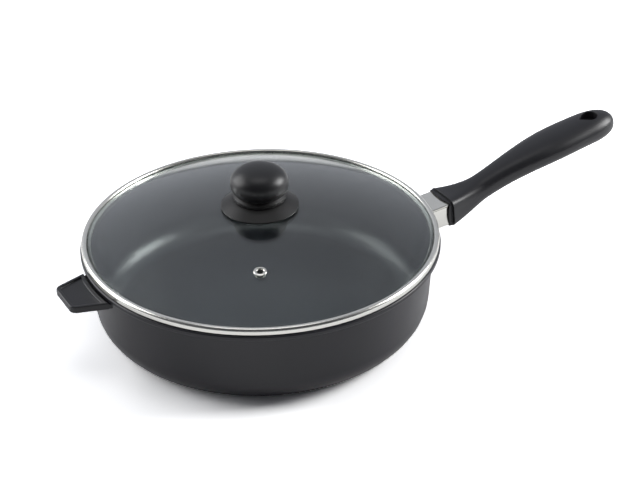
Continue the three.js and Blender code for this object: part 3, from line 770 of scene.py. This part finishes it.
def screw(name, radius, reach, head_radius, head_height):
    """A pan-head screw that points up, with the shoulder under its head at zero."""
    line = softened(
        [
            (0, -head_height, 0),
            (head_radius, -head_height, screw_crown * head_height),
            (head_radius, 0, shoulder_edge),
            (radius, 0, 0),
            (radius, reach, screw_point * radius),
            (0, reach, 0),
        ]
    )
    width = recess_width * head_radius
    length = recess_length * head_radius
    depth = 2 * recess_depth * head_height
    cross = [bar(length, width, depth, z=-head_height), bar(width, length, cross_cut * depth, z=-head_height)]
    return carved(turned(name, line, steps=small_steps), cross)


def washer(name, bore, radius, low, high, edge=shoulder_edge):
    corners = [(bore, low, edge), (radius, low, edge), (radius, high, edge), (bore, high, edge)]
    return turned(name, softened(corners, True), True, small_steps)


upper_ring = dome_top + seat_gap
lower_ring = glass_under(gasket_radius) - seat_gap
washer_top = lower_ring - gasket_thickness - seat_gap
washer_low = washer_top - knob_washer_thickness
knob_shoulder = washer_low - seat_gap
for name, node, low in (
    ("upper_silicone_ring", "knob_gasket_upper", upper_ring),
    ("lower_silicone_ring", "knob_gasket_lower", lower_ring - gasket_thickness),
):
    ring = washer(name, screw_bore, gasket_radius, low, low + gasket_thickness, ring_edge)
    settled(ring, "lid", node, "silicone", silicone)
knob_washer = washer("plated_knob_washer", screw_bore, knob_washer_radius, washer_low, washer_top)
settled(knob_washer, "lid", "knob_washer", "plain_steel", zinc_plate)
knob_reach = knob_base + knob_screw_grip - knob_shoulder
knob_screw = screw("plated_knob_screw", knob_screw_radius, knob_reach, knob_head_radius, knob_head_height)
knob_screw.data.transform(Matrix.Translation((0, 0, knob_shoulder)))
settled(knob_screw, "lid", "knob_screw", "plain_steel", zinc_plate)

# %% Insert and tangs, which stay as packed
for node, finish in (("knob_insert", brass), ("handle_tang", zinc_plate), ("helper_tang", zinc_plate)):
    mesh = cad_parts[node].data
    mesh.materials.clear()
    mesh.materials.append(finish)
    print(node, "keeps its packed solid in", finish.name)

# %% [markdown]
# ## The flame guard
# Between the wall and the long handle sits a sleeve of bright sheet that keeps the flame off the moulding. It
# is folded from two pieces: a trough, and a cover whose edges lap over the trough's sides. The lap shows as a
# thin shadow line just below the upper edge. The end at the wall is cut to the wall's own curve.

# %% Guard
handle_height = 42.7  # of the sleeve's middle at the wall
guard_tilt = math.radians(5.3)
guard_width = 28.1
guard_depth = 20.9
guard_sheet = 0.8
guard_corner = 1.3
guard_shown = 37
guard_let_in = 5  # hidden in the handle's mouth
guard_end = guard_shown + guard_let_in
lap_height = 1.6
lap_step = 0.45
lap_edge = 0.25
top_fold = 0.9
trough_edge = 0.1
seam_height = 0.7  # of the shadow gap under the lap
seam_depth = 0.8
guard_steps = 14
wall_rounds = 12


def wall_frame(tilt):
    """At the wall, with X out along a bracket that rises by a tilt."""
    shift = Matrix.Translation((wall_outside(handle_height), 0, handle_height))
    return shift @ Matrix.Rotation(-tilt, 4, "Y")


guard_frame = wall_frame(guard_tilt)
half_width = guard_width / 2
half_depth = guard_depth / 2
side = half_width - lap_step
lap = half_depth - lap_height


def sleeve_section(inset):
    """The sleeve's section set in by a distance: the trough, the shadow gap and the lap of the cover."""
    half = inset / 2
    right = [
        (side - inset, inset - half_depth, guard_corner - inset),
        (side - inset, lap - seam_height - half, trough_edge),
        (side - seam_depth - half, lap - seam_height - half, 0),
        (side - seam_depth - half, lap + half, 0),
        (half_width - inset, lap + half, lap_edge),
        (half_width - inset, half_depth - inset, top_fold - inset),
    ]
    left = [(-y, z, rounding) for y, z, rounding in reversed(right)]
    return softened(right + left, True)


def at_wall(y, z):
    """How far along the sleeve a line at this place of its section leaves the wall."""
    along = 0
    for _ in range(wall_rounds):
        point = guard_frame @ Vector((along, y, z))
        along += wall_outside(point.z) + seat_gap - math.hypot(point.x, point.y)
    return along


def sleeve_loop(section, share):
    loop = []
    for y, z in section:
        start = at_wall(y, z)
        loop.append(guard_frame @ Vector((start + (guard_end - start) * share, y, z)))
    return loop


shares = [i / guard_steps for i in range(guard_steps + 1)]
outer_section, inner_section = sleeve_section(0), sleeve_section(guard_sheet)
outer_loops = [sleeve_loop(outer_section, share) for share in shares]
inner_loops = [sleeve_loop(inner_section, share) for share in reversed(shares)]
guard = skinned("folded_guard", outer_loops + inner_loops, ring=True)
settled(guard, "pan", "flame_guard", "bright_steel", rolled_steel)

# %% [markdown]
# ## The long handle
# This is the piece that the hand knows best: a flared mouth that swallows the guard, a slim neck, a full palm
# and a rounded end with a drop-shaped hanging hole. Its middle line is one S-shaped curve, and superellipse
# sections stand square to it, so the skin stays as smooth as the moulded one. Pocket, slot and screw hole are
# carved.

# %% Middle line and sections of the handle
grip_length = 181
grip_rise = 40.2
grip_start_run = 50
grip_end_run = 124
grip_end_tilt = math.radians(6)
mouth_squareness = 4.5  # of a section: 2 is an ellipse
neck_squareness = 2.35
palm_squareness = 2.2
mouth_size = (36.5, 27.7)  # width and depth
neck_size = (23.2, 20.1)
palm_size = (39, 23)
end_size = (33.6, 25)
neck_distance = 41
palm_distance = 122
flare_sharpness = 1.7
end_rounding = 30
end_squareness = 2.4
end_fullness = 0.8
mouth_edge = 0.5
square_end = 6  # where the square mouth starts to soften
mouth_step_length = 2.5  # of the step round the guard, in front of the mouth
grip_rings = 150
grip_sides = 120
ring_crowding = 1.6
edge_rings = 8

grip_start = guard_frame @ Vector((guard_shown, 0, 0))
grip_end = grip_start + Vector((grip_length, 0, grip_rise))
start_pull = grip_start + Vector((1, 0, math.tan(guard_tilt))) * grip_start_run
end_pull = grip_end - Vector((1, 0, math.tan(grip_end_tilt))) * grip_end_run


def eased(x, low, high):
    t = min(max((x - low) / (high - low), 0), 1)
    return t * t * (3 - 2 * t)


def grip_size(distance, axis):
    mouth, neck, palm, end = (size[axis] for size in (mouth_size, neck_size, palm_size, end_size))
    if distance < neck_distance:
        return neck + (mouth - neck) * (1 - distance / neck_distance) ** flare_sharpness
    swell = (palm - neck) * eased(distance, neck_distance, palm_distance)
    return neck + swell + (end - palm) * eased(distance, palm_distance, grip_length)


def section_point(angle, squareness, half_across, half_up):
    """A point of a rounded section: how far across and how far up it lies."""
    wide, high = math.cos(angle), math.sin(angle)
    y = math.copysign(abs(wide) ** (2 / squareness), wide) * half_across
    return y, math.copysign(abs(high) ** (2 / squareness), high) * half_up


def grip_loop(share, inset):
    """One section of the handle, at a share of its middle line."""
    rest = 1 - share
    centre = grip_start * rest**3 + start_pull * 3 * rest**2 * share
    centre += end_pull * 3 * rest * share**2 + grip_end * share**3
    ahead = (start_pull - grip_start) * rest**2 + (end_pull - start_pull) * 2 * rest * share
    ahead += (grip_end - end_pull) * share**2
    ahead.normalize()
    distance = centre.x - grip_start.x
    into_end = max(0, (distance - grip_length + end_rounding) / end_rounding)
    closing = max(0, 1 - into_end**end_squareness) ** (1 / end_squareness)
    half_across = closing * grip_size(distance, 0) / 2 - inset
    half_up = closing**end_fullness * grip_size(distance, 1) / 2 - inset
    squareness = mouth_squareness
    squareness += (neck_squareness - mouth_squareness) * eased(distance, square_end, neck_distance)
    squareness += (palm_squareness - neck_squareness) * eased(distance, neck_distance, palm_distance)
    loop = []
    for j in range(grip_sides):
        y, up = section_point(math.tau * j / grip_sides, squareness, half_across, half_up)
        loop.append((min(centre.x - ahead.z * up, grip_end.x), y, centre.z + ahead.x * up))
    return loop


grip_loops = []
for i in range(edge_rings + 1):
    turn = math.pi / 2 * i / edge_rings
    first_share = (mouth_step_length + mouth_edge * (1 - math.cos(turn))) / (3 * grip_start_run)
    grip_loops.append(grip_loop(first_share, mouth_edge * (1 - math.sin(turn))))
for i in range(1, grip_rings + 1):
    share = first_share + (1 - first_share) * (1 - (1 - i / grip_rings) ** ring_crowding)
    grip_loops.append(grip_loop(share, 0))
grip = skinned("moulded_handle", grip_loops, close_last=False)
print("handle runs from", tuple(round(v, 1) for v in grip_start), "to", tuple(round(v, 1) for v in grip_end))

# %% Hanging hole with a rounded rim
hole_radius = 7.2
hole_point = 11.2  # from the round centre towards the pan
hole_from_end = 24.5
hole_steps = 64
flank_steps = 12
tip_rounding = 0.6
rim_rounding = 0.7
rim_flare = 0.1
rim_lift = 1.0  # how far the cutter stands out of the skin
rim_turns = [math.radians(a) for a in (0, 20, 40, 58, 74)]
high_above = 200
skin_tree = BVHTree.FromPolygons(
    [v.co.copy() for v in grip.data.vertices], [tuple(p.vertices) for p in grip.data.polygons]
)


def skin_height(x, y, from_above):
    """Where the handle's skin lies at this place, seen from above or from below."""
    start = Vector((x, y, high_above if from_above else -high_above))
    hit = skin_tree.ray_cast(start, Vector((0, 0, -1 if from_above else 1)))[0]
    return hit.z


touch = math.pi - math.acos(hole_radius / hole_point)
round_turns = [-touch + 2 * touch * i / hole_steps for i in range(hole_steps + 1)]
drop = [(hole_radius * math.cos(a), hole_radius * math.sin(a), math.cos(a), math.sin(a)) for a in round_turns]
last_x, last_y, last_nx, last_ny = drop[-1]
flank = []
for i in range(1, flank_steps + 1):
    t = i / flank_steps * (1 - tip_rounding / hole_point)
    flank.append((last_x * (1 - t) - hole_point * t, last_y * (1 - t), last_nx, last_ny))
drop += flank + [(tip_rounding / 2 - hole_point, 0, -1, 0)]
drop += [(x, -y, nx, -ny) for x, y, nx, ny in reversed(flank)]
hole_x = grip_end.x - hole_from_end


def hole_loop(grow, lift, from_above):
    loop = []
    for x, y, nx, ny in drop:
        px, py = hole_x + x + nx * grow, y + ny * grow
        loop.append((px, py, skin_height(px, py, from_above) + (lift if from_above else -lift)))
    return loop


rim = [(rim_rounding * (1 - math.cos(a)), rim_rounding * (math.sin(a) - 1)) for a in rim_turns]
rim.append((rim[-1][0] + rim_flare, rim_lift))
hole_loops = [hole_loop(grow, lift, False) for grow, lift in reversed(rim)]
hole_loops += [hole_loop(grow, lift, True) for grow, lift in rim]
hole_cutter = skinned("hole_cutter", hole_loops)
print("hanging hole:", len(drop), "points round a drop", 2 * hole_radius, "mm wide")

# %% Pocket, slot and screw hole, then the finished handle
slot_gap = 0.3
tang_tilt = math.radians(9)
tang_frame = wall_frame(tang_tilt)
tang_length = 82
tang_width = 14
tang_thickness = 4
screw_along = 66
screw_radius = 2.2
head_radius = 4.2
screw_floor = 4.5  # of moulding between the slot and the screw's seat
screw_seat = -tang_thickness / 2 - slot_gap - screw_floor
head_bore = head_radius + bore_gap
shank_bore = screw_radius + bore_gap
bore_reach = 30  # how far the cutter of the screw's hole reaches below its seat
pocket_reach = 9
step_wall = 1.4
step_rounding = 3
step_edge = 0.3
edge_bend = 0.3  # inset at the middle of a rounded edge, as a share of its size
groove_near = 1.0
groove_far = 1.6
groove_slope = 0.15
groove_depth = 0.35
face_steps = 12
mouth_bulge = 2.0


def sleeve_ring(along, growth, rounding, bulge=0):
    """A loop round the sleeve, grown by a distance, whose sides may bulge towards the pan."""
    y, z = half_width + growth, half_depth + growth
    corners = [(-y, -z, rounding), (y, -z, rounding), (y, z, rounding), (-y, z, rounding)]
    line = [Vector(point) for point in softened(corners, True)]
    loop = []
    for i, here in enumerate(line):
        loop.append(here)
        if (i + 1) % (corner_steps + 1) == 0:
            ahead = line[(i + 1) % len(line)]
            loop += [here.lerp(ahead, k / face_steps) for k in range(1, face_steps)]
    ring = []
    for a, b in loop:
        crown = max(1 - (a / y) ** 2, 1 - (b / z) ** 2)
        ring.append(guard_frame @ Vector((guard_shown + along - bulge * crown, a, b)))
    return ring


step_lines = [
    (0, step_edge),
    (edge_bend * step_edge, edge_bend * step_edge),
    (step_edge, 0),
    (groove_near, 0),
    (groove_near + groove_slope, groove_depth),
    (groove_far - groove_slope, groove_depth),
    (groove_far, 0),
    (mouth_step_length + mouth_edge, 0),
]
step_loops = []
for along, inset in step_lines:
    bulge = mouth_bulge * max(0, 1 - along / mouth_step_length)
    step_loops.append(sleeve_ring(along, step_wall - inset, step_rounding - inset, bulge))
mouth_step = skinned("mouth_step", step_loops)
pocket_depth = guard_let_in + seat_gap
pocket_ends = (-pocket_reach, pocket_depth)
pocket = skinned("pocket", [sleeve_ring(along, slot_gap, guard_corner + slot_gap) for along in pocket_ends])
slot_length = tang_length + 2 * slot_gap - guard_shown
slot_middle = guard_shown + slot_length / 2
slot = bar(slot_length, tang_width + 2 * slot_gap, tang_thickness + 2 * slot_gap, slot_middle)
slot.data.transform(tang_frame)
screw_line = [
    (0, screw_seat - bore_reach),
    (head_bore, screw_seat - bore_reach),
    (head_bore, screw_seat),
    (shank_bore, screw_seat),
    (shank_bore, 0),
    (0, 0),
]
screw_frame = tang_frame @ Matrix.Translation((screw_along, 0, 0))
screw_hole = turned("screw_hole", screw_line, steps=small_steps)
screw_hole.data.transform(screw_frame)
carved(grip, [mouth_step], "UNION")
carved(grip, [pocket, slot, screw_hole, hole_cutter])
settled(grip, "pan", "long_handle", "moulded_grip", grip_phenolic)

# %% Screw and washer of the handle
handle_washer_thickness = 0.9
handle_head_height = 2.6
washer_high = screw_seat - seat_gap
washer_low = washer_high - handle_washer_thickness
shoulder = washer_low - seat_gap
handle_washer = washer("plated_handle_washer", shank_bore, head_radius, washer_low, washer_high)
handle_washer.data.transform(screw_frame)
settled(handle_washer, "pan", "handle_washer", "plain_steel", zinc_plate)
handle_reach = tang_thickness / 2 - shoulder
handle_screw = screw("plated_handle_screw", screw_radius, handle_reach, head_radius, handle_head_height)
handle_screw.data.transform(screw_frame @ Matrix.Translation((0, 0, shoulder)))
settled(handle_screw, "pan", "handle_screw", "plain_steel", zinc_plate)

# %% [markdown]
# ## The side grip
# Opposite the long handle a short tab helps to lift the full pan. It is drawn outwards along X and then
# turned to its side. Loops that follow its outline step up over the rounded edge, across the border and down
# into the sunk panel. A thin tongue passes under the lip to the wall, on a boss for the screw.

# %% Outline and levels of the side grip
side_reach = 169.6
side_width = 33.4
side_flare = math.radians(17.2)
side_corner = 6
smallest_corner = 0.4
side_rise = 0.8  # of its top over the underside of the lip
side_thickness = 5.7
side_edge = 0.9
side_border = 2.8
panel_depth = 1.3
panel_edge = 0.4
panel_turn_in = 0.1
panel_turn_down = 0.12
panel_draft = 0.05
lip_clearance = 0.9
step_drop = 1.2
tongue_radius = 142
arc_steps = 28
straight_steps = 10
side_top = lip_underside + side_rise
side_bottom = side_top - side_thickness
step_radius = lip_radius + lip_clearance
step_top = lip_underside - step_drop


def between(first, last):
    """Points along the straight from one point to another, without its ends."""
    return [tuple(Vector(first).lerp(Vector(last), i / straight_steps)) for i in range(1, straight_steps)]


def side_loop(inset, inner_radius, z):
    """The tab's outline set in by a distance, with its inner end on a circle round the pan's axis."""
    slope = math.tan(side_flare)
    reach = side_reach - inset
    half_outer = side_width / 2 - inset / math.cos(side_flare) + inset * slope
    corner = max(side_corner - inset, smallest_corner)
    corner_x = reach - corner
    corner_y = half_outer + corner * slope - corner / math.cos(side_flare)
    wide = half_outer + reach * slope
    square = 1 + slope**2
    inner = inner_radius + inset
    meet = (wide * slope + math.sqrt((wide * slope) ** 2 - square * (wide**2 - inner**2))) / square
    spread = math.acos(meet / inner)
    turn = math.pi / 2 - side_flare
    arc = [spread - 2 * spread * i / arc_steps for i in range(arc_steps + 1)]
    root = [(inner * math.cos(a), inner * math.sin(a)) for a in arc]
    corner_arc = [-turn + turn * i / corner_steps for i in range(corner_steps + 1)]
    near = [(corner_x + corner * math.cos(a), corner * math.sin(a) - corner_y) for a in corner_arc]
    flank = between(root[-1], near[0]) + near
    far_flank = [(x, -y) for x, y in reversed(flank)]
    return [(x, y, z) for x, y in root + flank + between(flank[-1], far_flank[0]) + far_flank]


quarter = [math.radians(a) for a in (0, 22.5, 45, 67.5, 90)]
panel_low = side_top - panel_depth
levels = [(side_edge * (1 - math.sin(a)), side_bottom + side_edge * (1 - math.cos(a))) for a in quarter]
levels += [(side_edge * (1 - math.cos(a)), side_top - side_edge * (1 - math.sin(a))) for a in quarter]
levels += [
    (side_border - panel_edge, side_top),
    (side_border - panel_turn_in, side_top - panel_turn_down),
    (side_border, side_top - panel_edge),
    (side_border + panel_draft, panel_low + panel_edge),
    (side_border + panel_edge, panel_low),
]
tab = skinned("moulded_side_grip", [side_loop(inset, step_radius, z) for inset, z in levels])
print("side grip:", len(levels), "levels")

# %% Tongue, boss and holes, then the finished side grip
boss_depth = 5.6
boss_width = 20
boss_reach = 20  # out from the wall
boss_rounding = 2
boss_edge = 0.8
boss_turn_in = 0.25
boss_turn_up = 0.2
tongue_inset = 1.05
tongue_bevel = 0.15
tongue_edge = 0.3
tongue_lift = 0.05
side_tang_drop = 7.3
side_tang_width = 13
side_tang_thickness = 2
side_tang_end = 158
side_screw_at = 151
side_screw_radius = 1.9
slot_overrun = 8  # how far the slot's cutter reaches out of the tongue
hole_overrun = 5
boss_bottom = side_bottom - boss_depth
tang_middle = lip_underside - side_tang_drop
boss_end = wall_outside(tang_middle) + boss_reach
half_boss = boss_width / 2
side_shank = side_screw_radius + bore_gap


def boss_loop(inset, z):
    rounding = boss_rounding - inset
    low, high = tongue_radius + inset, boss_end - inset
    y = half_boss - inset
    corners = [(low, -y, 0), (high, -y, rounding), (high, y, rounding), (low, y, 0)]
    return [(a, b, z) for a, b in softened(corners, True)]


tongue_bevelled = tongue_inset + tongue_bevel
tongue_levels = [
    (tongue_bevelled, side_bottom + tongue_lift),
    (tongue_inset, side_bottom + tongue_edge),
    (tongue_inset, step_top - tongue_edge),
    (tongue_bevelled, step_top),
]
tongue_start = tongue_radius - tongue_bevelled
tongue = skinned("tongue", [side_loop(inset, tongue_start, z) for inset, z in tongue_levels])
boss_levels = [
    (boss_edge, boss_bottom),
    (boss_turn_in, boss_bottom + boss_turn_up),
    (0, boss_bottom + boss_edge),
    (0, side_bottom + side_edge),
]
boss = skinned("boss", [boss_loop(inset, z) for inset, z in boss_levels])
carved(tab, [tongue, boss], "UNION")
slot_start = tongue_radius - slot_overrun
slot_end = side_tang_end + slot_gap
slot_middle = (slot_start + slot_end) / 2
slot_height = side_tang_thickness + 2 * slot_gap
slot = bar(slot_end - slot_start, side_tang_width + 2 * slot_gap, slot_height, slot_middle, 0, tang_middle)
side_hole = rod(side_shank, boss_bottom - hole_overrun, tang_middle)
side_hole.data.transform(Matrix.Translation((side_screw_at, 0, 0)))
carved(tab, [slot, side_hole])
other_side = Matrix.Rotation(math.pi, 4, "Z")
tab.data.transform(other_side)
settled(tab, "pan", "helper_handle", "moulded_grip", grip_phenolic)

# %% Screw and washer of the side grip
side_washer_thickness = 0.8
side_head_radius = 3.6
side_head_height = 2.3
washer_high = boss_bottom - seat_gap
washer_low = washer_high - side_washer_thickness
shoulder = washer_low - seat_gap
side_place = other_side @ Matrix.Translation((side_screw_at, 0, 0))
side_washer = washer("plated_side_washer", side_shank, side_head_radius, washer_low, washer_high)
side_washer.data.transform(side_place)
settled(side_washer, "pan", "helper_washer", "plain_steel", zinc_plate)
side_reach_up = tang_middle + side_tang_thickness / 2 - shoulder
side_screw = screw("plated_side_screw", side_screw_radius, side_reach_up, side_head_radius, side_head_height)
side_screw.data.transform(side_place @ Matrix.Translation((0, 0, shoulder)))
settled(side_screw, "pan", "helper_screw", "plain_steel", zinc_plate)

# %% [markdown]
# ## Floor and light
# The pan stands on plain white paper. To the eye, in mirrors and through glass the paper is lifted to full
# white, while it bounces a paper's real share of light back onto the pan, and its shadow stays. Two soft
# boxes stand low on both sides and draw the bright edges of the wall. A third hangs overhead, and the room is
# dim towards the front.

# %% White paper floor
floor_reach = 6
floor_drop = 0.0002
paper = new_finish("white_paper")
rays = add_node(paper, "LightPath")
reflected = add_node(
    paper,
    "Math",
    {"operation": "MAXIMUM"},
    {0: rays.outputs["Is Glossy Ray"], 1: rays.outputs["Is Transmission Ray"]},
)
paper_white = 0.8  # the share of light that real paper gives back
lifted = 1.9  # lifts the lit paper to full white for the eye
in_mirrors = add_node(
    paper,
    "MixRGB",
    {"Color1": (paper_white, paper_white, paper_white, 1), "Color2": (1, 1, 1, 1)},
    {"Fac": reflected.outputs["Value"]},
)
whiteness = add_node(
    paper,
    "MixRGB",
    {"Color2": (lifted, lifted, lifted, 1)},
    {"Fac": rays.outputs["Is Camera Ray"], "Color1": in_mirrors.outputs["Color"]},
)
matt = add_node(paper, "BsdfDiffuse", {}, {"Color": whiteness.outputs["Color"]})
add_node(paper, "OutputMaterial", {}, {"Surface": matt.outputs["BSDF"]})
floor_drawing = bmesh.new()
bmesh.ops.create_grid(floor_drawing, x_segments=1, y_segments=1, size=floor_reach)
floor = drawn("paper_floor", floor_drawing)
floor.location.z = -floor_drop
floor.data.materials.append(paper)
print("floor:", floor.name)

# %% Soft boxes and the dim room
back_glow = 0.5
front_glow = 0.08
left_share = 1.2  # of the glow on the left
right_share = 0.85
cool_white = (0.95, 0.98, 1.06, 1)
lamp_aim = Vector((0, 0, 0.05))


def soft_box(name, to_right, away, height, width, tall, watts):
    """A large soft lamp, placed from the pan as the camera sees it and turned to the pan."""
    data = bpy.data.lights.new(name, "AREA")
    data.shape = "RECTANGLE"
    data.size, data.size_y, data.energy = width, tall, watts
    lamp = bpy.data.objects.new(name, data)
    lamp.location = view_right * to_right + view_away * away + upwards * height
    lamp.rotation_euler = (lamp_aim - lamp.location).to_track_quat("-Z", "Y").to_euler()
    bpy.context.scene.collection.objects.link(lamp)
    print(name, tuple(round(v, 2) for v in lamp.location), watts, "W")


soft_box("right_box", to_right=1.78, away=0.35, height=0.98, width=0.9, tall=0.95, watts=36)
soft_box("left_box", to_right=-1.75, away=0.45, height=0.95, width=1.6, tall=1.6, watts=29)
soft_box("top_box", to_right=0, away=-0.1, height=1.90, width=1.2, tall=0.8, watts=4)

room = bpy.data.worlds.new("dim_room")
bpy.context.scene.world = room
room.use_nodes = True
room.node_tree.nodes.clear()
direction = add_node(room, "TexCoord").outputs["Generated"]
behind = add_node(room, "VectorMath", {"operation": "DOT_PRODUCT"}, {0: direction})
behind.inputs[1].default_value = view_away
backdrop = add_node(
    room,
    "MapRange",
    {"From Min": -0.2, "From Max": 0.5, "To Min": front_glow, "To Max": back_glow},
    {"Value": behind.outputs["Value"]},
)
beside = add_node(room, "VectorMath", {"operation": "DOT_PRODUCT"}, {0: direction})
beside.inputs[1].default_value = view_right
sides = add_node(
    room,
    "MapRange",
    {"From Min": -0.7, "From Max": 0.7, "To Min": left_share, "To Max": right_share},
    {"Value": beside.outputs["Value"]},
)
glow = add_node(
    room, "Math", {"operation": "MULTIPLY"}, {0: backdrop.outputs["Result"], 1: sides.outputs["Result"]}
)
air = add_node(room, "Background", {"Color": cool_white}, {"Strength": glow.outputs["Value"]})
add_node(room, "OutputWorld", {}, {"Surface": air.outputs["Background"]})
print("room:", room.name)
